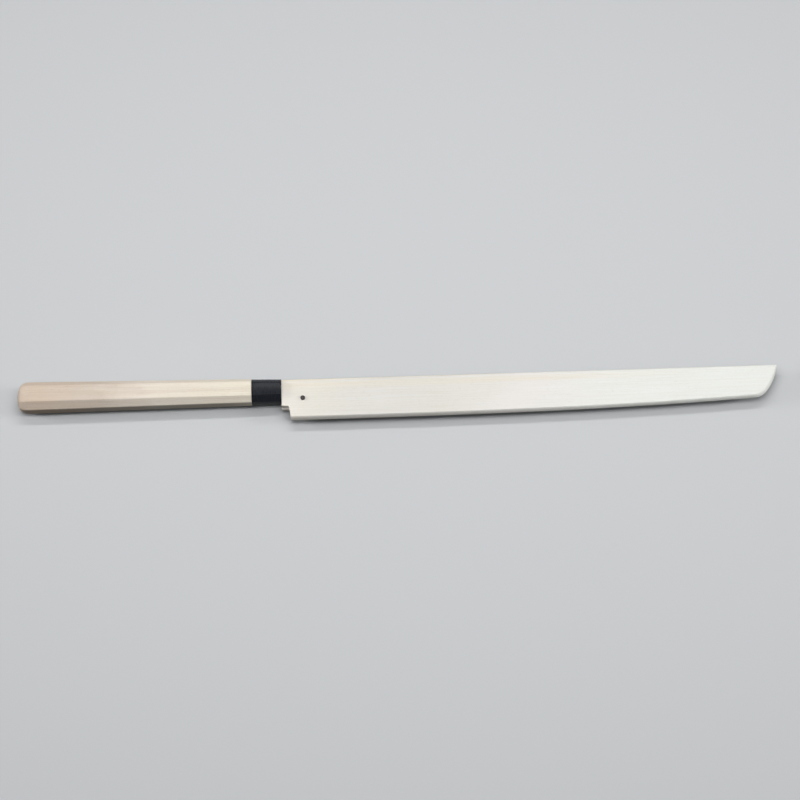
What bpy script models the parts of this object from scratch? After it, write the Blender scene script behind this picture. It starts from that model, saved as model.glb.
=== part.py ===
"""Long tuna slicing knife lying in its wooden sheath.

X runs along the blade's spine towards the point, Y towards the spine and Z up, away from the surface that
the knife lies on. Lengths are in metres and angles in degrees. While the pieces are made, X counts from the
ferrule's front face, and Y and Z from the handle's axis there. The last step moves them all over the origin.
"""
import math

import bmesh
import bpy
from mathutils import Vector

# Blade: the upper side is ground from a ridge to the edge, and the lower side is flat
BLADE_LENGTH = 0.5400
HEEL_HEIGHT = 0.0379
EDGE_RISE = 0.0114
EDGE_RISE_POWER = 2.9
TIP_RUN = 0.0298
SPINE_THICK_AT_HEEL = 0.0046
SPINE_THICK_AT_TIP = 0.0020
EDGE_THICK = 0.00035
POINT_BLUNT = 0.0005
GROUND_SHARE = 0.45

# How the tip's curve leaves the point and joins the edge, as shares of its run and of its drop
POINT_LEAN = 0.080
POINT_REACH = 0.275
JOIN_REACH = 0.543

# Neck and tang, forged in one with the blade
NECK_LENGTH = 0.0300
NECK_HEIGHT = 0.0160
NECK_STEP = 0.0002
HEEL_FILLET = 0.0030
TANG_LENGTH = 0.1500
TANG_END_HEIGHT = 0.0060
TANG_END_THICK = 0.0028

# Handle: an eight-sided stick, larger at the butt, with a tenon that goes into the ferrule
HANDLE_CANT = 0.35
HANDLE_LENGTH = 0.2716
BUTT_HEIGHT = 0.0360
BUTT_WIDTH = 0.0271
BUTT_FACET = 0.0080
BUTT_ROUND = 0.0060
BUTT_ROUND_LENGTH = 0.0120
BUTT_CROWN = 0.0024
FRONT_HEIGHT = 0.0296
FRONT_WIDTH = 0.0233
FRONT_FACET = 0.00635
FRONT_EASE = 0.0005

# Ferrule, and the resin ring that seals the neck into it
FERRULE_LENGTH = 0.0342
FERRULE_STEP = 0.0003
FERRULE_TAPER = 0.0005
FERRULE_MOUTH_FACET = 0.0066
FERRULE_EASE = 0.0004
FERRULE_WALL = 0.0033
FERRULE_FRONT_WALL = 0.0150
TENON_FACET = 0.0040
SEAL_DEPTH = 0.0060
SEAL_WALL = 0.0012

# Sheath: two boards glued in the blade's plane, with a notch under the mouth that lets the heel pass.
# It is widest at the glue line, where the walls count, and its edges are planed in from there to the faces.
# Each board is parted along the slot's side into a wall and a rim, so that convex hulls leave the slot open
SIDE_WALL = 0.0025
SPINE_WALL = 0.0064
EDGE_WALL = 0.0061
TIP_WALL = 0.0082
SLOT_SIDE_CLEAR = 0.0004
SLOT_SPINE_CLEAR = 0.0004
SLOT_EDGE_CLEAR = 0.0005
SLOT_TIP_CLEAR = 0.0015
LIP_LENGTH = 0.0089
NOTCH_HEIGHT = 0.0148
NOTCH_SLOPE = 0.15
NOTCH_FILLET = 0.0025
EDGE_BOW = 0.0028
EDGE_BOW_POWER = 4.5
EDGE_SLANT_SHARE = 0.64
TIP_BOW_SHARE = 1.25
GLUE_LINE = 0.0002
PARTING_GAP = 0.00002

# Pin through the sheath, behind the heel and below the neck
PIN_SHANK = 0.0046
PIN_CLEAR = 0.0003
PIN_HEAD_LAP = 0.0002
PIN_HEAD_RISE = 0.0023
PIN_RIM_SHARE = 0.35
PIN_TO_HEEL = 0.0052
PIN_BELOW_NECK = 0.0031

# Gap kept between pieces that seat on each other
SEAT_GAP = 0.0003

# Steps along curved shapes, and how far a cutter runs past the face that it opens
EDGE_STEPS = 16
TIP_STEPS = 12
ROUND_STEPS = 5
BOW_STEPS = (0.0, 0.35, 0.65, 0.85, 1.0)
PIN_SIDES = 32
CUT_PAST = 0.0100

# Places and sizes that follow from the ones above
SPINE_Y = NECK_HEIGHT / 2
HEEL_X = NECK_LENGTH
POINT_X = HEEL_X + BLADE_LENGTH
SLOT_TOP = SPINE_Y + SLOT_SPINE_CLEAR
SHEATH_TOP = SLOT_TOP + SPINE_WALL
MOUTH_X = SEAT_GAP
WOOD_FRONT_X = -FERRULE_LENGTH - SEAT_GAP
TENON_LENGTH = FERRULE_LENGTH - FERRULE_FRONT_WALL
NECK_THICK = SPINE_THICK_AT_HEEL - 2 * NECK_STEP
PIN_X = HEEL_X - PIN_TO_HEEL
PIN_Y = -NECK_HEIGHT / 2 - PIN_BELOW_NECK
CANT = math.radians(HANDLE_CANT)


def clear_scene():
    for obj in list(bpy.data.objects):
        bpy.data.objects.remove(obj, do_unlink=True)


def make_collection(name):
    collection = bpy.data.collections.new(name)
    bpy.context.scene.collection.children.link(collection)
    return collection


def make_material(name, color, roughness, metallic=0.0):
    material = bpy.data.materials.new(name)
    material.use_nodes = True
    shader = material.node_tree.nodes["Principled BSDF"]
    shader.inputs["Base Color"].default_value = (*color, 1.0)
    shader.inputs["Roughness"].default_value = roughness
    shader.inputs["Metallic"].default_value = metallic
    material.diffuse_color = (*color, 1.0)
    return material


def mix(start, end, share):
    return start + (end - start) * share


def round_step(i):
    """Sine and cosine at step i of a quarter turn."""
    angle = math.radians(90) * i / ROUND_STEPS
    return math.sin(angle), math.cos(angle)


def add_object(name, mesh, collection, material=None):
    obj = bpy.data.objects.new(name, mesh)
    collection.objects.link(obj)
    if material:
        mesh.materials.append(material)
    return obj


def mesh_from_bmesh(name, bm):
    mesh = bpy.data.meshes.new(name)
    bm.to_mesh(mesh)
    bm.free()
    return mesh


def loft(name, rings):
    """A closed mesh through rings of points, all with the same count, and with flat ends."""
    bm = bmesh.new()
    loops = [[bm.verts.new(point) for point in ring] for ring in rings]
    for first, second in zip(loops, loops[1:]):
        for i in range(len(first)):
            j = (i + 1) % len(first)
            bm.faces.new((first[i], first[j], second[j], second[i]))
    bm.faces.new(loops[0])
    bm.faces.new(loops[-1])
    bmesh.ops.recalc_face_normals(bm, faces=bm.faces)
    return mesh_from_bmesh(name, bm)


def box_bmesh(size, centre):
    bm = bmesh.new()
    bmesh.ops.create_cube(bm, size=1.0)
    bmesh.ops.scale(bm, vec=size, verts=bm.verts)
    bmesh.ops.translate(bm, vec=centre, verts=bm.verts)
    return bm


def add_boolean(obj, other, operation="DIFFERENCE"):
    modifier = obj.modifiers.new(other.name, "BOOLEAN")
    modifier.object = other
    modifier.operation = operation
    modifier.solver = "EXACT"


def rectangle(x, low, high, thick):
    """A ring across X, from low to high in Y and of the given thickness in Z."""
    z = thick / 2
    return [Vector((x, low, -z)), Vector((x, high, -z)), Vector((x, high, z)), Vector((x, low, z))]


def octagon(x, height, width, facet, inset=0.0):
    """A ring across X: a rectangle with its corners cut at 45 degrees, drawn in by inset all round."""
    h = height / 2 - inset
    w = width / 2 - inset
    f = facet - inset * (2 - math.sqrt(2))
    sides = [(h, w - f), (h - f, w), (f - h, w), (-h, w - f),
             (-h, f - w), (f - h, -w), (h - f, -w), (h, f - w)]
    return [Vector((x, y, z)) for y, z in sides]


def blade_height(x):
    """Height of the blade at x, leaving out the curve of the tip."""
    share = max(0.0, (x - HEEL_X) / BLADE_LENGTH)
    return HEEL_HEIGHT - EDGE_RISE * share ** EDGE_RISE_POWER


def lower_outline(startX, top, edgeMargin, tipMargin):
    """The blade's lower outline from startX to the blunted point, moved out by a margin below and ahead."""
    corner = Vector((POINT_X + tipMargin, top))
    joinX = corner.x - TIP_RUN
    join = Vector((joinX, SPINE_Y - blade_height(joinX) - edgeMargin))
    drop = corner.y - join.y
    joinHandle = join + Vector((TIP_RUN * JOIN_REACH, 0))
    cornerHandle = corner - Vector((TIP_RUN * POINT_LEAN, drop * POINT_REACH))
    points = []
    for i in range(EDGE_STEPS):
        x = mix(startX, joinX, i / EDGE_STEPS)
        points.append(Vector((x, SPINE_Y - blade_height(x) - edgeMargin)))
    for i in range(TIP_STEPS):
        t = i / TIP_STEPS
        s = 1 - t
        nearJoin = join * s ** 3 + joinHandle * 3 * t * s ** 2
        nearCorner = cornerHandle * 3 * t ** 2 * s + corner * t ** 3
        points.append(nearJoin + nearCorner)
    return points + [corner - Vector((0, POINT_BLUNT))]


def blade_section(x, edgeY, top, thick, edgeThick):
    """A ring across the blade or its slot: square above the ridge, and slanting to the edge below it."""
    back = -thick / 2
    ridgeY = mix(edgeY, top, GROUND_SHARE)
    return [Vector((x, top, back)), Vector((x, top, -back)), Vector((x, ridgeY, -back)),
            Vector((x, edgeY, back + edgeThick)), Vector((x, edgeY, back))]


def spine_thick(x):
    return mix(SPINE_THICK_AT_HEEL, SPINE_THICK_AT_TIP, (x - HEEL_X) / BLADE_LENGTH)


def slot_width(x):
    """Width of the blade's slot, which narrows steadily from the mouth to the point."""
    return mix(SPINE_THICK_AT_HEEL, SPINE_THICK_AT_TIP, x / POINT_X) + 2 * SLOT_SIDE_CLEAR


def sheath_thick(x):
    return slot_width(x) + 2 * SIDE_WALL


def blade_mesh():
    rings = []
    for point in lower_outline(HEEL_X, SPINE_Y, 0.0, 0.0):
        rings.append(blade_section(point.x, point.y, SPINE_Y, spine_thick(point.x), EDGE_THICK))
    return loft("blade", rings)


def tang_ring(x, clear):
    """A ring of the tang, which tapers from the ferrule's face and keeps to the handle's axis."""
    share = -x / TANG_LENGTH
    half = mix(NECK_HEIGHT, TANG_END_HEIGHT, share) / 2 + clear
    centre = -x * math.tan(CANT)
    return rectangle(x, centre - half, centre + half, mix(NECK_THICK, TANG_END_THICK, share) + 2 * clear)


def neck_mesh():
    """Tang and neck, which widen in a fillet under the heel and reach on into the blade."""
    rings = [tang_ring(-TANG_LENGTH, 0.0), tang_ring(0.0, 0.0)]
    for i in range(ROUND_STEPS + 1):
        sine, cosine = round_step(i)
        low = -NECK_HEIGHT / 2 - HEEL_FILLET * (1 - cosine)
        rings.append(rectangle(HEEL_X - HEEL_FILLET * (1 - sine), low, SPINE_Y, NECK_THICK))
    rings.append(rectangle(HEEL_X + NECK_HEIGHT, low, SPINE_Y, NECK_THICK))
    return loft("neck_and_tang", rings)


def handle_ring(fromButt, inset=0.0):
    share = fromButt / HANDLE_LENGTH
    return octagon(WOOD_FRONT_X - HANDLE_LENGTH + fromButt, mix(BUTT_HEIGHT, FRONT_HEIGHT, share),
                   mix(BUTT_WIDTH, FRONT_WIDTH, share), mix(BUTT_FACET, FRONT_FACET, share), inset)


def tenon_size(gap):
    """Height and width of the tenon, or with a gap those of the ferrule's socket."""
    wall = FERRULE_STEP + FERRULE_TAPER + FERRULE_WALL + SEAT_GAP - gap
    return FRONT_HEIGHT - 2 * wall, FRONT_WIDTH - 2 * wall


def handle_mesh():
    """The wood: a crowned butt with a rounded rim, the tapering stick, an eased front end and the tenon."""
    rim = handle_ring(BUTT_CROWN, BUTT_ROUND)
    centre = sum(rim, Vector()) / len(rim)
    rings = []
    for i in range(1, ROUND_STEPS):
        share = i / ROUND_STEPS
        bulge = Vector((BUTT_CROWN * (1 - share ** 2), 0, 0))
        rings.append([centre + (point - centre) * share - bulge for point in rim])
    for i in range(ROUND_STEPS + 1):
        sine, cosine = round_step(i)
        rings.append(handle_ring(BUTT_CROWN + BUTT_ROUND_LENGTH * (1 - cosine), BUTT_ROUND * (1 - sine)))
    rings.append(handle_ring(HANDLE_LENGTH - FRONT_EASE))
    rings.append(handle_ring(HANDLE_LENGTH, FRONT_EASE))
    for x in (WOOD_FRONT_X, WOOD_FRONT_X + TENON_LENGTH):
        rings.append(octagon(x, *tenon_size(0.0), TENON_FACET))
    return loft("handle_body", rings)


def ferrule_mesh():
    back = (FRONT_HEIGHT - 2 * FERRULE_STEP, FRONT_WIDTH - 2 * FERRULE_STEP, FRONT_FACET)
    mouth = (back[0] - 2 * FERRULE_TAPER, back[1] - 2 * FERRULE_TAPER, FERRULE_MOUTH_FACET)
    return loft("ferrule", [octagon(-FERRULE_LENGTH, *back), octagon(-FERRULE_EASE, *mouth),
                            octagon(0.0, *mouth, FERRULE_EASE)])


def socket_mesh():
    ends = (WOOD_FRONT_X - CUT_PAST, WOOD_FRONT_X + TENON_LENGTH + SEAT_GAP)
    return loft("tenon_socket", [octagon(x, *tenon_size(SEAT_GAP), TENON_FACET) for x in ends])


def tang_pocket_mesh():
    end = tang_ring(-TANG_LENGTH, SEAT_GAP)
    for point in end:
        point.x -= SEAT_GAP
    mouth = tang_ring(0.0, SEAT_GAP)
    past = [point + Vector((CUT_PAST, 0, 0)) for point in mouth]
    return loft("tang_pocket", [end, mouth, past])


def seal_recess_mesh():
    margin = 2 * SEAL_WALL + 4 * SEAT_GAP
    length = SEAL_DEPTH + SEAT_GAP + CUT_PAST
    size = (length, NECK_HEIGHT + margin, NECK_THICK + margin)
    return mesh_from_bmesh("seal_recess", box_bmesh(size, (CUT_PAST - length / 2, 0, 0)))


def seal_mesh():
    """Outer skin of the ring round the neck: a box without its ends."""
    margin = 2 * SEAL_WALL + 2 * SEAT_GAP
    size = (SEAL_DEPTH, NECK_HEIGHT + margin, NECK_THICK + margin)
    bm = box_bmesh(size, (-SEAL_DEPTH / 2, 0, 0))
    ends = [face for face in bm.faces if abs(face.normal.x) > 0.5]
    bmesh.ops.delete(bm, geom=ends, context="FACES_ONLY")
    return mesh_from_bmesh("neck_seal", bm)


def sheath_ring(side):
    """The sheath's outline at a share of its half thickness, from the top of its mouth round the tip."""
    bow = EDGE_BOW * mix(abs(side) ** EDGE_BOW_POWER, abs(side), EDGE_SLANT_SHARE)
    top = SHEATH_TOP - bow
    tipMargin = SLOT_TIP_CLEAR + TIP_WALL - bow * TIP_BOW_SHARE
    lower = lower_outline(MOUTH_X, top, SLOT_EDGE_CLEAR + EDGE_WALL - bow, tipMargin)
    outline = [Vector((MOUTH_X, top)), Vector((POINT_X + tipMargin, top))] + lower[-2::-1]
    return [Vector((point.x, point.y, side * sheath_thick(point.x) / 2)) for point in outline]


def sheath_blank_mesh():
    """The sheath before it is split and hollowed: a plate with bowed edges that thins towards the tip."""
    sides = [-step for step in reversed(BOW_STEPS[1:])] + list(BOW_STEPS)
    return loft("sheath_blank", [sheath_ring(side) for side in sides])


def notch_mesh():
    """The space under the lip at the mouth, cut square through both boards and filleted in its corner."""
    notchX = MOUTH_X + LIP_LENGTH
    lipLow = SPINE_Y - HEEL_HEIGHT - SLOT_EDGE_CLEAR - EDGE_WALL + NOTCH_HEIGHT
    fall = NOTCH_HEIGHT + CUT_PAST
    outline = [(MOUTH_X - CUT_PAST, lipLow - fall), (MOUTH_X - CUT_PAST, lipLow)]
    for i in range(ROUND_STEPS + 1):
        sine, cosine = round_step(i)
        outline.append((notchX - NOTCH_FILLET * (1 - sine), lipLow - NOTCH_FILLET * (1 - cosine)))
    outline.append((notchX + NOTCH_SLOPE * (fall - NOTCH_FILLET), lipLow - fall))
    depth = sheath_thick(0.0)
    return loft("notch", [[Vector((x, y, z)) for x, y in outline] for z in (-depth, depth)])


def slot_mesh():
    """The space for the blade, open through the mouth and the notch."""
    lower = lower_outline(HEEL_X, SLOT_TOP, SLOT_EDGE_CLEAR, SLOT_TIP_CLEAR)
    lower.insert(0, Vector((MOUTH_X - CUT_PAST, lower[0].y)))
    edge = EDGE_THICK + 2 * SLOT_SIDE_CLEAR
    return loft("blade_slot", [blade_section(p.x, p.y, SLOT_TOP, slot_width(p.x), edge) for p in lower])


def slot_layer_mesh(name, gap):
    """All that lies between the slot's two sides, parted from the walls by a gap."""
    height = 2 * HEEL_HEIGHT
    ends = (MOUTH_X - CUT_PAST, POINT_X + SLOT_TIP_CLEAR + TIP_WALL + CUT_PAST)
    return loft(name, [rectangle(x, -height, height, slot_width(x) - 2 * gap) for x in ends])


def other_board_mesh(name, side):
    """A box over all of the sheath that lies on the other side of the glue line."""
    depth = sheath_thick(0.0)
    length = POINT_X + SLOT_TIP_CLEAR + TIP_WALL + 2 * CUT_PAST
    height = 4 * HEEL_HEIGHT
    centre = (length / 2 - CUT_PAST, 0, -side * (depth - GLUE_LINE) / 2)
    return mesh_from_bmesh(name, box_bmesh((length, height, depth), centre))


def pin_hole_mesh():
    bm = bmesh.new()
    radius = PIN_SHANK / 2 + PIN_CLEAR
    bmesh.ops.create_cone(bm, cap_ends=True, segments=PIN_SIDES, radius1=radius, radius2=radius,
                          depth=2 * sheath_thick(0.0))
    return mesh_from_bmesh("pin_hole", bm)


def pin_profile():
    """Half of the turned pin, from the top of its dome down. The shank stops short of the blade's slot."""
    headR = PIN_SHANK / 2 + PIN_CLEAR + PIN_HEAD_LAP
    shankR = PIN_SHANK / 2
    shankEnd = SEAT_GAP + (slot_width(PIN_X) - sheath_thick(PIN_X)) / 2
    profile = []
    for i in range(ROUND_STEPS + 1):
        sine, cosine = round_step(i)
        profile.append((headR * sine, SEAT_GAP + PIN_HEAD_RISE * mix(PIN_RIM_SHARE, 1.0, cosine)))
    return profile + [(headR, SEAT_GAP), (shankR, SEAT_GAP), (shankR, shankEnd), (0.0, shankEnd)]


def make_pin(collection, material):
    """The pin is turned about its own origin, which lies on its axis at the sheath's face."""
    profile = pin_profile()
    mesh = bpy.data.meshes.new("sheath_pin")
    mesh.from_pydata([(r, 0.0, z) for r, z in profile], [(i, i + 1) for i in range(len(profile) - 1)], [])
    pin = add_object("sheath_pin", mesh, collection, material)
    pin.location = (PIN_X, PIN_Y, sheath_thick(PIN_X) / 2)
    turn = pin.modifiers.new("turn", "SCREW")
    turn.steps = PIN_SIDES
    turn.render_steps = PIN_SIDES
    turn.use_smooth_shade = True
    turn.use_merge_vertices = True
    turn.merge_threshold = 0.00001
    return pin


def make_knife(pieces, cutters):
    """Blade, handle, ferrule and seal. Returns the pieces and cutters that keep to the handle's axis."""
    steel = make_material("steel", (0.62, 0.63, 0.64), 0.28, 1.0)
    handleWood = make_material("handle_wood", (0.76, 0.66, 0.53), 0.55)
    horn = make_material("horn", (0.020, 0.022, 0.026), 0.30)
    resin = make_material("resin", (0.10, 0.07, 0.05), 0.60)

    blade = add_object("blade", blade_mesh(), pieces, steel)
    neck = add_object("neck_and_tang", neck_mesh(), cutters)
    add_boolean(blade, neck, "UNION")

    handle = add_object("handle_body", handle_mesh(), pieces, handleWood)
    ferrule = add_object("ferrule", ferrule_mesh(), pieces, horn)
    seal = add_object("neck_seal", seal_mesh(), pieces, resin)
    wall = seal.modifiers.new("wall", "SOLIDIFY")
    wall.thickness = SEAL_WALL
    wall.offset = -1.0
    wall.use_even_offset = True

    socket = add_object("tenon_socket", socket_mesh(), cutters)
    tangPocket = add_object("tang_pocket", tang_pocket_mesh(), cutters)
    sealRecess = add_object("seal_recess", seal_recess_mesh(), cutters)
    add_boolean(handle, tangPocket)
    for cutter in (socket, tangPocket, sealRecess):
        add_boolean(ferrule, cutter)
    return [handle, ferrule, seal, socket, sealRecess]


def make_sheath(pieces, cutters):
    """Two boards cut from one blank, each as a wall drilled for the pin and a rim round the slot."""
    sheathWood = make_material("sheath_wood", (0.82, 0.76, 0.66), 0.60)
    ebony = make_material("ebony", (0.05, 0.03, 0.025), 0.40)
    slot = add_object("blade_slot", slot_mesh(), cutters)
    notch = add_object("notch", notch_mesh(), cutters)
    pinHole = add_object("pin_hole", pin_hole_mesh(), cutters)
    pinHole.location = (PIN_X, PIN_Y, 0)
    wallSide = add_object("slot_layer", slot_layer_mesh("slot_layer", 0.0), cutters)
    rimSide = add_object("rim_layer", slot_layer_mesh("rim_layer", PARTING_GAP), cutters)
    blank = sheath_blank_mesh()
    for name, side in (("sheath_front", 1), ("sheath_back", -1)):
        otherBoard = add_object("not_" + name, other_board_mesh("not_" + name, side), cutters)
        wall = add_object(name + "_wall", blank.copy(), pieces, sheathWood)
        for cutter in (notch, wallSide, otherBoard, pinHole):
            add_boolean(wall, cutter)
        rim = add_object(name + "_rim", blank.copy(), pieces, sheathWood)
        add_boolean(rim, rimSide, "INTERSECT")
        for cutter in (notch, slot, otherBoard):
            add_boolean(rim, cutter)
    make_pin(pieces, ebony)


def world_corners(obj):
    evaluated = obj.evaluated_get(bpy.context.evaluated_depsgraph_get())
    mesh = evaluated.to_mesh()
    corners = [evaluated.matrix_world @ vert.co for vert in mesh.vertices]
    evaluated.to_mesh_clear()
    return corners


def stand_on_origin(root, pieces):
    """Moves everything so that the origin lies under the middle of the box that holds all the pieces."""
    bpy.context.view_layer.update()
    corners = [corner for piece in pieces for corner in world_corners(piece)]
    low = [min(corner[i] for corner in corners) for i in range(3)]
    high = [max(corner[i] for corner in corners) for i in range(3)]
    root.location = (-(low[0] + high[0]) / 2, -(low[1] + high[1]) / 2, -low[2])
    bpy.context.view_layer.update()


def main():
    clear_scene()
    pieces = make_collection("tuna_knife")
    cutters = make_collection("cutters")
    onHandleAxis = make_knife(pieces, cutters)
    make_sheath(pieces, cutters)

    root = bpy.data.objects.new("knife_origin", None)
    handleAxis = bpy.data.objects.new("handle_axis", None)
    handleAxis.parent = root
    handleAxis.rotation_euler = (0, 0, -CANT)
    solids = list(pieces.objects)
    for obj in solids + list(cutters.objects):
        obj.parent = handleAxis if obj in onHandleAxis else root
    for obj in cutters.objects:
        obj.hide_render = True
        obj.display_type = "WIRE"
    for empty in (root, handleAxis):
        pieces.objects.link(empty)
    stand_on_origin(root, solids)


main()
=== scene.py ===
import math

import bmesh
import bpy
from mathutils import Matrix, Vector


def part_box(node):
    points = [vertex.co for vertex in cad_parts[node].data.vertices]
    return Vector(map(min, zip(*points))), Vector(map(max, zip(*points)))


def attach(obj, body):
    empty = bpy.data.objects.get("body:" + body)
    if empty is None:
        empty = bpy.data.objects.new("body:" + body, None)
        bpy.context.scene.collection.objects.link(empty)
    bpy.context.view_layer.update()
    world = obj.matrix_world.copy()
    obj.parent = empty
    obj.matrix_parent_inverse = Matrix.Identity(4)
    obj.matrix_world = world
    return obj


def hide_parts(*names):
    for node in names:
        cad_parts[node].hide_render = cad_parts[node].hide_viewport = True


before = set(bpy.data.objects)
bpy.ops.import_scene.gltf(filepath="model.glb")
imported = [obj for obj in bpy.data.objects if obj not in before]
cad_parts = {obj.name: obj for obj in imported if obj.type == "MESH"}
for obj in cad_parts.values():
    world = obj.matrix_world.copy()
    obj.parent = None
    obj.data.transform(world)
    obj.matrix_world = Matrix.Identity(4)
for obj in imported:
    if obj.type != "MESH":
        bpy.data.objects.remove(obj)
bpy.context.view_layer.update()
print("frame:", ", ".join(sorted(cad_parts)))

bpy.context.scene.view_settings.view_transform = "Standard"

# Pieces are built from the ferrule's face: X towards the point, Y towards the spine, Z up from the glue line.
# The handle leans by its cant about that point. Lengths are in metres.
knifeFrame = {"mouthGap": 0.0003, "topAboveAxis": 0.014765, "cant": math.radians(0.35)}
frontLow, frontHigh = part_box("sheath_front_rim")
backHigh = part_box("sheath_back_rim")[1]
ferruleFace = Vector((frontLow.x - knifeFrame["mouthGap"], frontHigh.y - knifeFrame["topAboveAxis"],
                      (frontLow.z + backHigh.z) / 2))


def mix(start, end, share):
    return start + (end - start) * share


def smoothStep(value):
    value = min(1.0, max(0.0, value))
    return value * value * (3 - 2 * value)


def quarterTurn(steps):  # angles from nought to a right one
    return [math.radians(90) * i / steps for i in range(steps + 1)]


# what every piece is made with

softening = {"arcSteps": 3, "flatShares": (0.03, 0.25, 0.5, 0.75, 0.97)}


def loopThrough(bm, points):
    return [bm.verts.new(point) for point in points]


def skin(bm, loops, closed=False):  # walls between neighbouring loops, then caps or a wall back to the first loop
    for first, second in zip(loops, loops[1:] + (loops[:1] if closed else [])):
        for i in range(len(first)):
            bm.faces.new((first[i - 1], first[i], second[i], second[i - 1]))
    if not closed:
        bm.faces.new(loops[0])
        bm.faces.new(loops[-1])


def skinned(rings, closed=False):
    bm = bmesh.new()
    skin(bm, [loopThrough(bm, points) for points in rings], closed)
    return bm


def easedCorner(before, corner, after, reach):  # an arc that starts and ends at the reach from the corner
    start = corner + (before - corner).normalized() * reach
    end = corner + (after - corner).normalized() * reach
    shares = [step / softening["arcSteps"] for step in range(softening["arcSteps"] + 1)]
    return [start * (1 - t) ** 2 + corner * 2 * t * (1 - t) + end * t ** 2 for t in shares]


def softened(corners, soft, crown=0.0):  # eases each corner, and lets each flat swell by the crown
    points = []
    for i, corner in enumerate(corners):
        after = corners[(i + 1) % len(corners)]
        points += easedCorner(corners[i - 1], corner, after, soft)
        along = (after - corner).normalized()
        outward = along.cross(Vector((1, 0, 0)))
        if outward.dot(corner - sum(corners, Vector()) / len(corners)) < 0:
            outward = -outward
        for t in softening["flatShares"]:
            swell = outward * crown * 4 * t * (1 - t)
            points.append(mix(corner + along * soft, after - along * soft, t) + swell)
    return points


def eightSided(x, height, width, facet, soft, inset=0.0, crown=0.0):
    h = height / 2 - inset
    w = width / 2 - inset
    f = facet - inset * (2 - math.sqrt(2))
    sides = [(h, w - f), (h - f, w), (f - h, w), (-h, w - f), (-h, f - w), (f - h, -w), (h - f, -w), (h, f - w)]
    return softened([Vector((x, y, z)) for y, z in sides], soft, crown)


def meshInPlace(name, bm, canted=False):
    bmesh.ops.recalc_face_normals(bm, faces=bm.faces)
    turn = Matrix.Rotation(-knifeFrame["cant"] if canted else 0.0, 4, "Z")
    bmesh.ops.transform(bm, matrix=Matrix.Translation(ferruleFace) @ turn, verts=bm.verts)
    mesh = bpy.data.meshes.new(name)
    bm.to_mesh(mesh)
    bm.free()
    return mesh


def newObject(name, data):
    made = bpy.data.objects.new(name, data)
    bpy.context.scene.collection.objects.link(made)
    return made


def finishPiece(name, mesh, material, body, nodes, sharpDegrees):
    mesh.shade_smooth()
    mesh.set_sharp_from_angle(angle=math.radians(sharpDegrees))
    mesh.materials.clear()
    mesh.materials.append(material)
    piece = newObject(name, mesh)
    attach(piece, body)
    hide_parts(*nodes)
    print("piece:", name, len(mesh.polygons), "faces")


# what every material is made with

noiseRange = (0.3, 0.7)  # where nearly all of a noise lies


def fromHex(text):  # sRGB to linear
    channels = [int(text[i:i + 2], 16) / 255 for i in (1, 3, 5)]
    return tuple(c / 12.92 if c <= 0.04045 else ((c + 0.055) / 1.055) ** 2.4 for c in channels) + (1.0,)


def newMaterial(name):
    material = bpy.data.materials.new(name)
    material.use_nodes = True
    return material, material.node_tree.nodes["Principled BSDF"]


def addNode(material, kind, inputs=None, stops=None, **settings):
    tree = material.node_tree
    node = tree.nodes.new(kind)
    for name, value in settings.items():
        setattr(node, name, value)
    if stops:
        ramp = node.color_ramp.elements
        while len(ramp) < len(stops):
            ramp.new(1.0)
        for stop, (position, color) in zip(ramp, stops):
            stop.position = position
            stop.color = fromHex(color)
    setInputs(material, node, inputs or {})
    return node


def setInputs(material, node, inputs):
    for name, value in inputs.items():
        if isinstance(value, bpy.types.NodeSocket):
            material.node_tree.links.new(value, node.inputs[name])
        else:
            node.inputs[name].default_value = value


def objectCoords(material):
    return addNode(material, "ShaderNodeTexCoord").outputs["Object"]


def streaks(material, coords, alongMm, acrossMm, detail=2.0, rough=0.5):
    # noise drawn out along X, with its period in real millimetres each way
    mapping = addNode(material, "ShaderNodeMapping", {
        "Vector": coords, "Scale": (1000 / alongMm, 1000 / acrossMm, 1000 / acrossMm)})
    noise = addNode(material, "ShaderNodeTexNoise", {
        "Vector": mapping.outputs[0], "Scale": 1.0, "Detail": detail, "Roughness": rough})
    return noise.outputs["Fac"]


def toned(material, value, stops):
    return addNode(material, "ShaderNodeValToRGB", {"Fac": value}, stops=stops).outputs[0]


def blend(material, factor, first, second, how="MIX"):
    node = addNode(material, "ShaderNodeMix", {0: factor, 6: first, 7: second}, data_type="RGBA", blend_type=how)
    return node.outputs[2]


def remap(material, value, fromRange, toRange=(0.0, 1.0)):
    node = addNode(material, "ShaderNodeMapRange", {
        "Value": value, "From Min": fromRange[0], "From Max": fromRange[1],
        "To Min": toRange[0], "To Max": toRange[1]})
    return node.outputs[0]


def calculate(material, operation, *values):
    return addNode(material, "ShaderNodeMath", dict(enumerate(values)), operation=operation).outputs[0]


def bumped(material, height, relief):
    strength, depthMm = relief
    node = addNode(material, "ShaderNodeBump", {"Height": height, "Strength": strength, "Distance": depthMm / 1000})
    return node.outputs[0]


# the wooden handle, from its domed butt to the tenon inside the ferrule

handleWood = {
    "length": 0.2716, "gap": 0.0003, "buttIn": 0.0001,
    "butt": (0.03598, 0.02708, 0.0080), "front": (0.02958, 0.02328, 0.00635),  # height, width, facet
    "arris": 0.0008, "buttArris": 0.0014,
    "round": 0.0060, "roundLength": 0.0120, "roundSteps": 8,
    "crown": 0.0023, "crownShares": (0.04, 0.2, 0.4, 0.6, 0.8, 0.92),
    "stations": (0.02, 0.06, 0.12, 0.18, 0.24),
    "frontEase": ((0.0002, 0.0), (0.0001, 0.00003), (0.00003, 0.0001), (0.0, 0.0002)),  # from the end, inwards
    "tenonLength": 0.0192, "tenon": (0.0214, 0.0151, 0.0040), "tenonArris": 0.0006,
    "sharpDegrees": 35,
}


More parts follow.
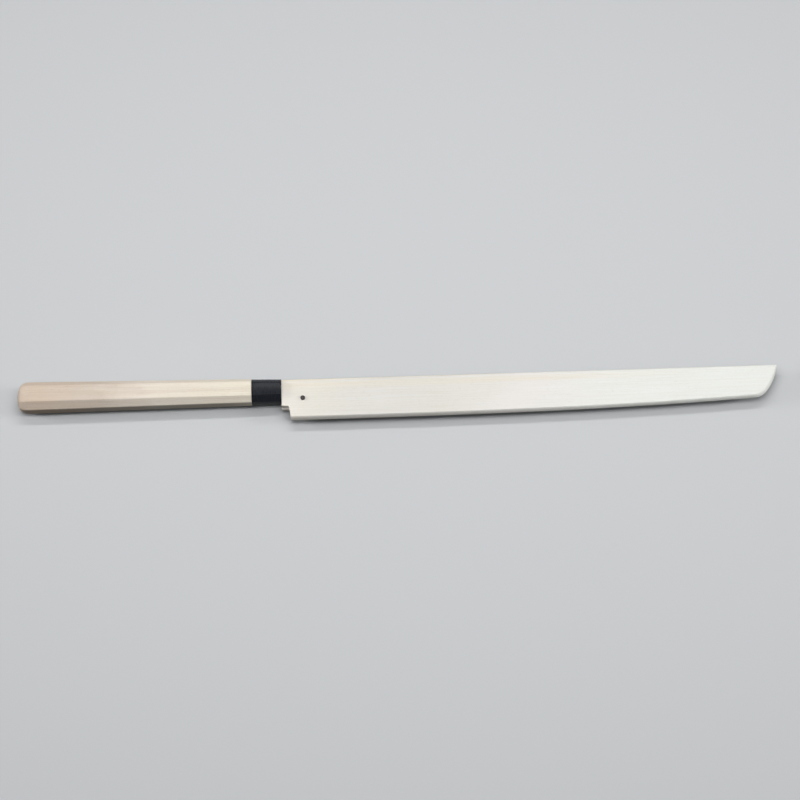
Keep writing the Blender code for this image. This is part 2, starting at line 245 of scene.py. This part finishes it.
def makeHandle(material):
    h = handleWood
    frontX = -ferrule["length"] - h["gap"]
    buttX = frontX - h["length"] + h["buttIn"]

    def ring(fromButt, inset, soft):
        share = fromButt / h["length"]
        height, width, facet = (mix(b, f, share) for b, f in zip(h["butt"], h["front"]))
        return eightSided(buttX + fromButt, height, width, facet, soft, inset)

    rings = []
    rim = ring(h["crown"], h["round"], h["buttArris"])
    middle = sum(rim, Vector()) / len(rim)
    for share in h["crownShares"]:  # the crowned end
        bulge = Vector((h["crown"] * (1 - share ** 2), 0, 0))
        rings.append([mix(middle, point, share) - bulge for point in rim])
    for i, angle in enumerate(quarterTurn(h["roundSteps"])):  # its rounded rim
        soft = mix(h["buttArris"], h["arris"], i / h["roundSteps"])
        fromButt = h["crown"] + h["roundLength"] * (1 - math.cos(angle))
        rings.append(ring(fromButt, h["round"] * (1 - math.sin(angle)), soft))
    for fromButt in h["stations"]:
        rings.append(ring(fromButt, 0.0, h["arris"]))
    for fromEnd, inset in h["frontEase"]:
        rings.append(ring(h["length"] - h["buttIn"] - fromEnd, inset, h["arris"]))
    for x in (frontX, frontX + h["tenonLength"]):
        rings.append(eightSided(x, *h["tenon"], h["tenonArris"]))
    mesh = meshInPlace("handle_wood", skinned(rings), canted=True)
    finishPiece("handle_wood", mesh, material, "knife", ["handle_body"], h["sharpDegrees"])


# the ferrule and the seal round the neck; "face" is the end towards the sheath

ferrule = {
    "length": 0.0342, "back": (0.02870, 0.02240, 0.00635), "mouth": (0.02770, 0.02140, 0.0066),
    "arris": 0.0005, "crown": 0.0003, "stations": (0.006, 0.017, 0.028),
    "backEase": ((0.0, 0.0003), (0.0001, 0.0001), (0.0003, 0.0)),  # from the end, inwards
    "faceEase": ((0.0005, 0.0), (0.00025, 0.00007), (0.00007, 0.00025), (0.0, 0.0005), (0.0, 0.0012)),
    "socketDepth": 0.0195, "socket": (0.0220, 0.0157, 0.0042), "socketArris": 0.0006,
    "neckHole": (0.0166, 0.0048), "sealHole": (0.0196, 0.0078), "sealDepth": 0.0063,
    "holeFacet": 0.0009, "holeArris": 0.00025,
    "sharpDegrees": 35,
}


def holeRing(x, size):
    return eightSided(x, *size, ferrule["holeFacet"], ferrule["holeArris"])


def makeFerrule(material):
    f = ferrule

    def outer(x, inset):
        share = 1 + x / f["length"]
        size = (mix(b, m, share) for b, m in zip(f["back"], f["mouth"]))
        return eightSided(x, *size, f["arris"], inset, f["crown"])

    rings = [outer(-f["length"] + fromEnd, inset) for fromEnd, inset in f["backEase"]]
    rings += [outer(-f["length"] + fromEnd, 0.0) for fromEnd in f["stations"]]
    rings += [outer(-fromFace, inset) for fromFace, inset in f["faceEase"]]
    socketX = -f["length"] + f["socketDepth"]
    for x, size in ((0.0, f["sealHole"]), (-f["sealDepth"], f["sealHole"]), (-f["sealDepth"], f["neckHole"]),
                    (socketX, f["neckHole"])):
        rings.append(holeRing(x, size))
    for x in (socketX, -f["length"]):
        rings.append(eightSided(x, *f["socket"], f["socketArris"]))
    mesh = meshInPlace("horn_ferrule", skinned(rings, closed=True), canted=True)
    finishPiece("horn_ferrule", mesh, material, "knife", ["ferrule"], f["sharpDegrees"])


neckSeal = {
    "depth": 0.0060, "outer": (0.0190, 0.0072), "inner": (0.0166, 0.0048),
    "outerDip": 0.0001, "dish": 0.0004, "innerDip": 0.0002,  # how far the scraped face lies below the ferrule's
    "sharpDegrees": 40,
}


def makeSeal(material):
    s = neckSeal
    middle = [(a + b) / 2 for a, b in zip(s["outer"], s["inner"])]
    rings = [holeRing(x, size) for x, size in (
        (-s["depth"], s["inner"]), (-s["depth"], s["outer"]), (-s["outerDip"], s["outer"]),
        (-s["dish"], middle), (-s["innerDip"], s["inner"]))]
    mesh = meshInPlace("neck_seal_ring", skinned(rings, closed=True), canted=True)
    finishPiece("neck_seal_ring", mesh, material, "knife", ["neck_seal"], s["sharpDegrees"])


# the blade with its neck and tang, one forging

blade = {
    "length": 0.5400, "heelHeight": 0.0379, "edgeRise": 0.0114, "edgeRisePower": 2.9, "spineY": 0.0080,
    "tipRun": 0.0298, "pointLean": 0.080, "pointReach": 0.275, "joinReach": 0.543,
    "thickAtHeel": 0.0046, "thickAtTip": 0.0020, "edgeThick": 0.00015, "ridgeShare": 0.45,
    "spineEase": 0.0005, "easeSteps": 4, "easeOfHeight": 1 / 6, "easeOfThick": 1 / 3,
    "heelIn": 0.0002, "edgeSteps": 70, "tipSteps": 30,
    # the back is ground hollow between these shares of its height, from a little past the heel
    "hollowDepth": 0.00035, "hollowEnds": (0.08, 0.92), "hollowStart": 0.002, "hollowRun": 0.010,
    "hollowLeastHeight": 0.008, "hollowHeightRun": 0.016,
    "backShares": (0.06, 0.12, 0.24, 0.36, 0.5, 0.64, 0.76, 0.86, 0.93),
    "neckLength": 0.0300, "neckHeight": 0.0160, "neckThick": 0.0042, "heelFillet": 0.0030, "filletSteps": 8,
    "tangLength": 0.1500, "tangEndHeight": 0.0060, "tangEndThick": 0.0028,
    "sharpDegrees": 6,
}


def bladeHeight(x):
    share = max(0.0, (x - blade["neckLength"]) / blade["length"])
    return blade["heelHeight"] - blade["edgeRise"] * share ** blade["edgeRisePower"]


def edgeCurve(startX, top, edgeMargin, tipMargin, edgeSteps, tipSteps):  # the edge and the tip, moved out by margins
    b = blade
    corner = Vector((b["neckLength"] + b["length"] + tipMargin, top))
    joinX = corner.x - b["tipRun"]
    join = Vector((joinX, b["spineY"] - bladeHeight(joinX) - edgeMargin))
    joinHandle = join + Vector((b["tipRun"] * b["joinReach"], 0))
    cornerHandle = corner - Vector((b["tipRun"] * b["pointLean"], (corner.y - join.y) * b["pointReach"]))
    points = []
    for i in range(edgeSteps):
        x = mix(startX, joinX, i / edgeSteps)
        points.append(Vector((x, b["spineY"] - bladeHeight(x) - edgeMargin)))
    for i in range(tipSteps):
        t = i / tipSteps
        s = 1 - t
        points.append(join * s ** 3 + joinHandle * 3 * t * s ** 2 + cornerHandle * 3 * t ** 2 * s + corner * t ** 3)
    return points


def steelRing(x, low, top, thick, lowThick, ease, hollow=0.0):
    # round the section: back of the spine, front of the spine, ridge, edge, and up the hollow back
    back = -thick / 2
    ridge = mix(low, top, blade["ridgeShare"])
    angles = quarterTurn(blade["easeSteps"])
    section = [(top - ease + ease * math.sin(a), back + ease - ease * math.cos(a)) for a in angles]
    section += [(top - ease + ease * math.cos(a), -back - ease + ease * math.sin(a)) for a in angles]
    section += [(ridge, -back), (low, back + lowThick), (low, back)]
    hollowLow, hollowHigh = blade["hollowEnds"]
    for share in blade["backShares"]:
        across = (2 * share - hollowLow - hollowHigh) / (hollowHigh - hollowLow)
        dip = max(0.0, 1 - across ** 2)
        section.append((mix(low, top - ease, share), back + hollow * dip))
    return [Vector((x, y, z)) for y, z in section]


def makeBlade(material):
    b = blade
    top = b["spineY"]
    half = b["neckHeight"] / 2
    heelX = b["neckLength"]
    rings = []
    for x, share in ((-b["tangLength"], 1.0), (0.0, 0.0)):
        middle = -x * math.tan(knifeFrame["cant"])
        reach = mix(half, b["tangEndHeight"] / 2, share)
        thick = mix(b["neckThick"], b["tangEndThick"], share)
        rings.append(steelRing(x, middle - reach, middle + reach, thick, thick, b["spineEase"]))
    for angle in quarterTurn(b["filletSteps"]):
        x = heelX - b["heelFillet"] * (1 - math.sin(angle))
        low = -half - b["heelFillet"] * (1 - math.cos(angle))
        rings.append(steelRing(x, low, top, b["neckThick"], b["neckThick"], b["spineEase"]))
    neckRings = len(rings)
    for point in edgeCurve(heelX + b["heelIn"], top, 0.0, 0.0, b["edgeSteps"], b["tipSteps"]):
        fromHeel = point.x - heelX
        thick = mix(b["thickAtHeel"], b["thickAtTip"], fromHeel / b["length"])
        height = top - point.y
        ease = min(b["spineEase"], height * b["easeOfHeight"], thick * b["easeOfThick"])
        hollow = b["hollowDepth"] * smoothStep((fromHeel - b["hollowStart"]) / b["hollowRun"])
        hollow *= smoothStep((height - b["hollowLeastHeight"]) / b["hollowHeightRun"])
        rings.append(steelRing(point.x, point.y, top, thick, b["edgeThick"], ease, hollow))
    bm = bmesh.new()
    rise = bm.verts.layers.float.new("rise")  # how far up from the edge, as a share of the blade's height there
    loops = [loopThrough(bm, points) for points in rings]
    for i, (loop, points) in enumerate(zip(loops, rings)):
        low = min(point.y for point in points)
        high = max(point.y for point in points)
        for vert in loop:
            vert[rise] = 1.0 if i < neckRings else (vert.co.y - low) / (high - low)
    skin(bm, loops)
    mesh = meshInPlace("tuna_blade", bm)
    finishPiece("tuna_blade", mesh, material, "knife", ["blade"], b["sharpDegrees"])


# the sheath's two carved boards

sheath = {
    "sideWall": 0.0025, "spineWall": 0.0064, "edgeWall": 0.0061, "tipWall": 0.0082,
    "sideClear": 0.0004, "spineClear": 0.0004, "edgeClear": 0.0005, "tipClear": 0.0015,
    "lipLength": 0.0089, "notchHeight": 0.0148, "notchSlope": 0.15, "notchFillet": 0.0025, "filletSteps": 8,
    "glueLine": 0.0002,
    # the long edges and the tip are planed in by the bow, from the glue line to the broad face
    "bow": 0.0028, "bowPower": 4.5, "slantShare": 0.64, "tipBowShare": 1.25,
    # the sawn faces stay square up to a small arris, but the lip's is pared at a slant
    "sawnArris": 0.0002, "lipSlant": 0.16, "cornerEase": 0.0003, "tipEase": 0.0009,
    "shares": (0.025, 0.15, 0.30, 0.45, 0.58, 0.66, 0.73, 0.80, 0.86, 0.91, 0.95, 0.98, 0.995, 1.0),
    "faceInsets": (0.0003, 0.0012),  # two more loops on the broad face, which keep its edge crisp
    "footRun": 0.01, "edgeSteps": 40, "tipSteps": 22,
    "slotEdgeSteps": 30, "slotTipSteps": 16, "slotEdge": 0.0012, "slotEnd": (0.0002, 0.0008), "cutPast": 0.010,
    "sharpDegrees": 28,
}


def slotWidth(x):
    reach = blade["neckLength"] + blade["length"]
    return mix(blade["thickAtHeel"], blade["thickAtTip"], x / reach) + 2 * sheath["sideClear"]


def halfThick(x):
    return slotWidth(x) / 2 + sheath["sideWall"]


def boardRing(share, side, inset=0.0):  # the board's outline at a share of its thickness
    s = sheath
    bow = s["bow"] * mix(share ** s["bowPower"], share, s["slantShare"]) + inset
    arris = s["sawnArris"]
    depth = max(0.0, arris - (1 - share) * halfThick(0.0))
    sawn = arris - math.sqrt(arris ** 2 - depth ** 2) + inset
    lip = sawn + s["lipSlant"] * (1 + side * share) * halfThick(0.0)
    top = blade["spineY"] + s["spineClear"] + s["spineWall"] - bow
    margin = s["edgeClear"] + s["edgeWall"] - bow
    tipMargin = s["tipClear"] + s["tipWall"] - bow * s["tipBowShare"]
    mouthX = knifeFrame["mouthGap"] + sawn
    low = blade["spineY"] - bladeHeight(0.0) - margin
    lipLow = low - bow + s["notchHeight"]
    fillet = s["notchFillet"]
    middle = Vector((knifeFrame["mouthGap"] + s["lipLength"] - fillet, lipLow - fillet))
    footX = middle.x + fillet + sawn + s["notchSlope"] * (middle.y - low)
    lower = edgeCurve(footX + s["footRun"], top, margin, tipMargin, s["edgeSteps"], s["tipSteps"])[:-1]
    mouth = Vector((mouthX, top))
    tip = Vector((blade["neckLength"] + blade["length"] + tipMargin, top))
    foot = Vector((footX, low))
    lipFoot = Vector((mouthX, lipLow + lip))
    arc = []
    for angle in quarterTurn(s["filletSteps"]):
        arc.append(middle + Vector(((fillet + sawn) * math.cos(angle), (fillet + lip) * math.sin(angle))))
    points = easedCorner(lipFoot, mouth, tip, s["cornerEase"])
    points += easedCorner(mouth, tip, lower[-1], s["tipEase"])
    points += lower[::-1]
    points += easedCorner(lower[0], foot, arc[0], s["cornerEase"])
    points += arc
    points += easedCorner(arc[-1], lipFoot, mouth, s["cornerEase"])
    return [Vector((p.x, p.y, side * max(share * halfThick(p.x), s["glueLine"] / 2))) for p in points]


def slotCutter():  # the blade's space, open through the mouth and the notch
    s = sheath
    top = blade["spineY"] + s["spineClear"]
    lower = edgeCurve(blade["neckLength"], top, s["edgeClear"], s["tipClear"], s["slotEdgeSteps"], s["slotTipSteps"])
    lower.insert(0, Vector((knifeFrame["mouthGap"] - s["cutPast"], lower[0].y)))
    endRun, endDrop = s["slotEnd"]
    lower.append(Vector((lower[-1].x + endRun, top - endDrop)))
    rings = []
    for point in lower:
        back = -slotWidth(point.x) / 2
        ridge = mix(point.y, top, blade["ridgeShare"])
        section = [(top, back), (top, -back), (ridge, -back), (point.y, back + s["slotEdge"]), (point.y, back)]
        rings.append([Vector((point.x, y, z)) for y, z in section])
    return newObject("blade_slot", meshInPlace("blade_slot", skinned(rings)))


def pinHoleCutter():
    bm = bmesh.new()
    bmesh.ops.create_cone(bm, cap_ends=True, segments=pin["sides"], radius1=pin["hole"], radius2=pin["hole"],
                          depth=pin["holeDepth"])
    bmesh.ops.translate(bm, vec=(pin["x"], pin["y"], 0), verts=bm.verts)
    return newObject("pin_hole", meshInPlace("pin_hole", bm))


def makeBoard(name, side, material, nodes):
    rings = [boardRing(share, side) for share in sheath["shares"]]
    rings += [boardRing(1.0, side, inset) for inset in sheath["faceInsets"]]
    blank = newObject(name + "_blank", meshInPlace(name, skinned(rings)))
    cutters = [slotCutter(), pinHoleCutter()]
    for cutter in cutters:
        cut = blank.modifiers.new(cutter.name, "BOOLEAN")
        cut.object = cutter
        cut.solver = "EXACT"
    bpy.context.view_layer.update()
    mesh = bpy.data.meshes.new_from_object(blank.evaluated_get(bpy.context.evaluated_depsgraph_get()))
    mesh.name = name
    for extra in [blank] + cutters:
        bpy.data.objects.remove(extra, do_unlink=True)
    finishPiece(name, mesh, material, "sheath", nodes, sheath["sharpDegrees"])


# the turned pin, and the hole for it

pin = {
    "x": 0.0248, "y": -0.0111, "hole": 0.0026, "holeDepth": 0.04, "shank": 0.0023, "head": 0.0028,
    "headRise": 0.0023, "rimRise": 0.0008, "seat": 0.0003, "shankLength": 0.0023,
    "headArris": 0.0001, "shankArris": 0.0003, "domeSteps": 12, "sides": 48, "mergeWithin": 0.000001,
    "sharpDegrees": 40,
}


def makePin(material):
    p = pin
    seat = halfThick(p["x"]) + p["seat"]
    end = halfThick(p["x"]) - p["shankLength"]
    profile = []
    for angle in quarterTurn(p["domeSteps"]):
        rise = mix(p["rimRise"], p["headRise"], math.cos(angle))
        profile.append((p["head"] * math.sin(angle), seat + rise))
    profile += [(p["head"], seat + p["headArris"]), (p["head"] - p["headArris"], seat), (p["shank"], seat),
                (p["shank"], end + p["shankArris"]), (p["shank"] - p["shankArris"], end), (0.0, end)]
    bm = bmesh.new()
    verts = [bm.verts.new((r, 0, z)) for r, z in profile]
    edges = [bm.edges.new(pair) for pair in zip(verts, verts[1:])]
    bmesh.ops.spin(bm, geom=verts + edges, cent=(0, 0, 0), axis=(0, 0, 1), angle=math.radians(360),
                   steps=p["sides"], use_merge=True)
    bmesh.ops.remove_doubles(bm, verts=bm.verts, dist=p["mergeWithin"])
    bmesh.ops.translate(bm, vec=(p["x"], p["y"], 0), verts=bm.verts)
    finishPiece("ebony_pin", meshInPlace("ebony_pin", bm), material, "pin", ["sheath_pin"],
                p["sharpDegrees"])


# Bare ho, a pale magnolia: even and straight grained, planed and not oiled, so it looks dry and silky.
# Its tones run along X, and warmer bands lie in one part of its height.
woodGrain = {
    "bandMm": (420, 7.0), "fibreAlongMm": 70, "cloudStretch": 5,
    "poreMm": (5.0, 0.30),  # like the fibres, broader than real ones, which are too fine to show
    "bandRange": (0.35, 0.65), "fibreRange": (0.3, 0.75), "poreRange": (0.60, 0.78), "endRange": (0.55, 0.95),
    "roughSpread": (-0.05, 0.06), "relief": (0.25, 0.06),  # a bump's strength, and its depth in millimetres
    "ior": 1.50, "gloss": 0.03,
}

sheathFinish = {
    "fromX": -0.136, "toX": 0.443, "cloudMm": 130, "cloudShift": 0.15,
    "tones": ((0.06, "#F5F0E8"), (0.135, "#ECE9E1"), (0.205, "#E8E6E1"), (0.325, "#E7E5E0"), (0.395, "#E8E6E0"),
              (0.475, "#ECEAE5"), (0.545, "#F1EEEB"), (0.725, "#F1F2EE"), (0.925, "#F2F4F0")),
    "bandY": (0.004, 0.019), "bandTone": "#EFE6D2", "bandDepth": 0.8, "bandFade": (0.50, 0.85),
    "fibreMm": 0.9, "fibreTone": "#F6F4F0", "fibreDepth": 0.9,
    "poreTone": "#E4DDD2", "poreDepth": 0.5, "endTone": "#E2D8C6", "endDepth": 0.2, "rough": 0.56,
}

handleFinish = {
    "fromX": -0.4425, "toX": -0.1517, "cloudMm": 45, "cloudShift": 0.35,
    "tones": ((0.30, "#DFCEBE"), (0.47, "#DFD3C7"), (0.72, "#F6EEE3"), (1.0, "#F8F2E4")),
    "bandY": (-0.030, 0.0), "bandTone": "#D9CCBC", "bandDepth": 0.4, "bandFade": (1.0, 1.1),
    "fibreMm": 0.8, "fibreTone": "#F1ECE5", "fibreDepth": 0.9,
    "poreTone": "#DBCEBE", "poreDepth": 0.5, "endTone": "#E2D6C4", "endDepth": 0.2, "rough": 0.50,
}


def magnoliaWood(name, w):
    g = woodGrain
    material, shader = newMaterial(name)
    spot = addNode(material, "ShaderNodeTexCoord")
    coords = spot.outputs["Object"]
    place = addNode(material, "ShaderNodeSeparateXYZ", {0: coords}).outputs
    bands = streaks(material, coords, *g["bandMm"], rough=0.55)
    fibres = streaks(material, coords, g["fibreAlongMm"], w["fibreMm"], detail=3.0, rough=0.6)
    clouds = streaks(material, coords, w["cloudMm"], w["cloudMm"] / g["cloudStretch"])
    pores = streaks(material, coords, *g["poreMm"], detail=1.0)
    along = remap(material, place["X"], (w["fromX"], w["toX"]))
    tone = toned(material, calculate(material, "MULTIPLY_ADD", clouds, w["cloudShift"], along), w["tones"])
    nearSpine = remap(material, place["Y"], w["bandY"], (0.0, w["bandDepth"]))
    bandPlace = calculate(material, "MULTIPLY", nearSpine, remap(material, along, w["bandFade"], (1.0, 0.0)))
    bandMask = calculate(material, "MULTIPLY", remap(material, bands, g["bandRange"]), bandPlace)
    color = blend(material, bandMask, tone, fromHex(w["bandTone"]))
    facing = addNode(material, "ShaderNodeSeparateXYZ", {0: spot.outputs["Normal"]}).outputs
    ends = calculate(material, "ABSOLUTE", facing["X"])
    for pattern, part in ((fibres, "fibre"), (pores, "pore"), (ends, "end")):
        mask = remap(material, pattern, g[part + "Range"], (0.0, w[part + "Depth"]))
        color = blend(material, mask, color, fromHex(w[part + "Tone"]), "MULTIPLY")
    rough = [w["rough"] + spread for spread in g["roughSpread"]]
    relief = calculate(material, "SUBTRACT", fibres, pores)
    setInputs(material, shader, {
        "Base Color": color, "Roughness": remap(material, fibres, noiseRange, rough),
        "Normal": bumped(material, relief, g["relief"]), "IOR": g["ior"], "Specular IOR Level": g["gloss"]})
    return material


# black water buffalo horn, ground and buffed to a satin, with faint grey streaks along it
hornFinish = {
    "layerMm": (28, 1.6), "tones": ((0.35, "#0B0E15"), (0.75, "#141923")),
    "buffingMm": (0.5, 6.0), "relief": (0.1, 0.01), "rough": (0.24, 0.32), "ior": 1.54, "gloss": 0.13,
}


def buffaloHorn():
    h = hornFinish
    material, shader = newMaterial("buffalo_horn")
    coords = objectCoords(material)
    layers = streaks(material, coords, *h["layerMm"], detail=3.0, rough=0.55)
    buffing = streaks(material, coords, *h["buffingMm"])
    setInputs(material, shader, {
        "Base Color": toned(material, layers, h["tones"]),
        "Roughness": remap(material, buffing, noiseRange, h["rough"]),
        "Normal": bumped(material, buffing, h["relief"]), "IOR": h["ior"], "Specular IOR Level": h["gloss"]})
    return material


# soft iron forged over a hard steel edge and ground on stones: misty grey, with a brighter band at the edge
steelFinish = {
    "ironLine": (0.085, 0.110), "wanderMm": 30, "wander": -0.10,  # where the iron ends, as a share of the height
    "mistMm": (14, 2.0), "ironTones": ((0.3, "#A3A5A8"), (0.7, "#B4B6B8")), "misty": (0.36, 0.46),
    "edgeTone": "#BFC2C5", "honed": (0.34, 0.42),
    "ridge": (0.448, 0.452), "faceTone": "#B9BCBF", "ground": (0.22, 0.34),
    "stoneMm": (24, 0.10), "relief": (0.08, 0.01),  # the stones' real scratches are finer still
}


def forgedSteel():
    s = steelFinish
    material, shader = newMaterial("forged_steel")
    coords = objectCoords(material)
    rise = addNode(material, "ShaderNodeAttribute", attribute_name="rise").outputs["Fac"]
    wander = streaks(material, coords, s["wanderMm"], s["wanderMm"])
    line = calculate(material, "MULTIPLY_ADD", wander, s["wander"], rise)
    iron = remap(material, line, s["ironLine"])
    face = remap(material, rise, s["ridge"])
    mist = streaks(material, coords, *s["mistMm"], detail=4.0, rough=0.6)
    lower = blend(material, iron, fromHex(s["edgeTone"]), toned(material, mist, s["ironTones"]))
    stoneLines = streaks(material, coords, *s["stoneMm"], rough=0.6)
    honed = remap(material, stoneLines, noiseRange, s["honed"])
    misty = remap(material, mist, noiseRange, s["misty"])
    ground = remap(material, stoneLines, noiseRange, s["ground"])
    lowRough = addNode(material, "ShaderNodeMix", {0: iron, 2: honed, 3: misty}).outputs[0]
    setInputs(material, shader, {
        "Base Color": blend(material, face, lower, fromHex(s["faceTone"])),
        "Roughness": addNode(material, "ShaderNodeMix", {0: face, 2: lowRough, 3: ground}).outputs[0],
        "Normal": bumped(material, stoneLines, s["relief"]), "Metallic": 1.0})
    return material


# ebony turned on a lathe and oiled: nearly black brown, with fine lighter lines
ebonyFinish = {
    "lineMm": (6.0, 0.35), "relief": (0.1, 0.02), "tones": ((0.35, "#1C1211"), (0.7, "#2E201F")),
    "rough": (0.34, 0.44),
}


def turnedEbony():
    e = ebonyFinish
    material, shader = newMaterial("turned_ebony")
    lines = streaks(material, objectCoords(material), *e["lineMm"])
    setInputs(material, shader, {
        "Base Color": toned(material, lines, e["tones"]),
        "Roughness": remap(material, lines, noiseRange, e["rough"]),
        "Normal": bumped(material, lines, e["relief"])})
    return material


# resin melted in round the neck and scraped level: dark brown, dull, slightly uneven
resinFinish = {
    "lumpMm": 1.5, "relief": (0.3, 0.08), "tones": ((0.3, "#2A1F19"), (0.7, "#3C2E25")),
    "rough": (0.42, 0.58),
}


def darkResin():
    r = resinFinish
    material, shader = newMaterial("dark_resin")
    lumps = streaks(material, objectCoords(material), r["lumpMm"], r["lumpMm"], detail=3.0, rough=0.6)
    setInputs(material, shader, {
        "Base Color": toned(material, lumps, r["tones"]),
        "Roughness": remap(material, lumps, noiseRange, r["rough"]),
        "Normal": bumped(material, lumps, r["relief"])})
    return material


makeHandle(magnoliaWood("handle_magnolia", handleFinish))
makeFerrule(buffaloHorn())
makeSeal(darkResin())
makeBlade(forgedSteel())
sheathWood = magnoliaWood("sheath_magnolia", sheathFinish)
makeBoard("sheath_board_front", 1, sheathWood, ["sheath_front_wall", "sheath_front_rim"])
makeBoard("sheath_board_back", -1, sheathWood, ["sheath_back_wall", "sheath_back_rim"])
makePin(turnedEbony())
print("pieces done")

# a floor of matt paint, plain and without gloss, under one long lamp overhead, one behind and one at each side
studio = {
    "floor": "#CFD1D3", "floorBounce": "#303133",  # as seen, and as it lights the object
    "floorFade": (0.75, 1.60), "floorSize": 20,  # past the fade's end the floor shows its plain colour
    "surround": "#E4E5E6", "ambient": 0.13,
    "lamps": {
        "overhead": {"at": (0.0, -0.14, 1.60), "size": (1.9, 0.56), "power": 12.8},
        "back": {"at": (0.0, 0.90, 1.56), "size": (1.9, 0.16), "power": 10.2},
        "left": {"at": (-3.0, 0.35, 1.1), "size": (0.8, 0.8), "power": 35.0},
        "right": {"at": (3.0, -0.15, 1.1), "size": (0.8, 0.8), "power": 40.0},
    },
}


def seenRays(holder):  # one for rays that show the background, nought for those that only carry light
    rays = addNode(holder, "ShaderNodeLightPath").outputs
    seen = calculate(holder, "MAXIMUM", rays["Is Camera Ray"], rays["Is Glossy Ray"])
    return calculate(holder, "MAXIMUM", seen, rays["Is Transmission Ray"])


def makeFloor():
    bm = bmesh.new()
    bmesh.ops.create_grid(bm, x_segments=1, y_segments=1, size=studio["floorSize"])
    mesh = bpy.data.meshes.new("floor")
    bm.to_mesh(mesh)
    bm.free()
    material, shader = newMaterial("floor_paint")
    seen = seenRays(material)
    reach = addNode(material, "ShaderNodeVectorMath", {0: objectCoords(material)}, operation="LENGTH")
    far = calculate(material, "MULTIPLY", remap(material, reach.outputs["Value"], studio["floorFade"]), seen)
    near = blend(material, seen, fromHex(studio["floorBounce"]), fromHex(studio["floor"]))
    setInputs(material, shader, {
        "Base Color": blend(material, far, near, fromHex("#000000")), "Emission Strength": far,
        "Emission Color": fromHex(studio["floor"]), "Specular IOR Level": 0.0})
    mesh.materials.append(material)
    newObject("floor", mesh)


def makeWorld():
    world = bpy.data.worlds.new("studio")
    bpy.context.scene.world = world
    world.use_nodes = True
    level = remap(world, seenRays(world), (0.0, 1.0), (studio["ambient"], 1.0))
    background = world.node_tree.nodes["Background"]
    setInputs(world, background, {"Color": fromHex(studio["surround"]), "Strength": level})


def makeLamp(name, lamp):
    light = bpy.data.lights.new(name, "AREA")
    light.shape = "RECTANGLE"
    light.size, light.size_y = lamp["size"]
    light.energy = lamp["power"]
    holder = newObject(name, light)
    holder.location = lamp["at"]
    holder.rotation_euler = (-Vector(lamp["at"])).to_track_quat("-Z", "Y").to_euler()


photoView = {
    "target": Vector((0.0, 0.0, 0.0135)), "azimuth": -1.955, "elevation": 66.3, "distance": 2.6,
    "mmPerPixel": 1.1621, "pixels": 800, "offset": (-0.75, -5.40), "sensor": 36,
}


def makeCamera():
    v = photoView
    turn = math.radians(v["azimuth"])
    tilt = math.radians(v["elevation"])
    away = Vector((math.sin(turn) * math.cos(tilt), -math.cos(turn) * math.cos(tilt), math.sin(tilt)))
    lens = bpy.data.cameras.new("camera")
    lens.sensor_width = v["sensor"]
    lens.lens = v["sensor"] * v["distance"] * 1000 / (v["pixels"] * v["mmPerPixel"])
    lens.shift_x = -v["offset"][0] / v["pixels"]
    lens.shift_y = v["offset"][1] / v["pixels"]
    camera = newObject("camera", lens)
    camera.location = v["target"] + away * v["distance"]
    camera.rotation_euler = (-away).to_track_quat("-Z", "Y").to_euler()
    bpy.context.scene.camera = camera


makeFloor()
makeWorld()
for name, lamp in studio["lamps"].items():
    makeLamp(name + "_lamp", lamp)
makeCamera()
print("stage done")
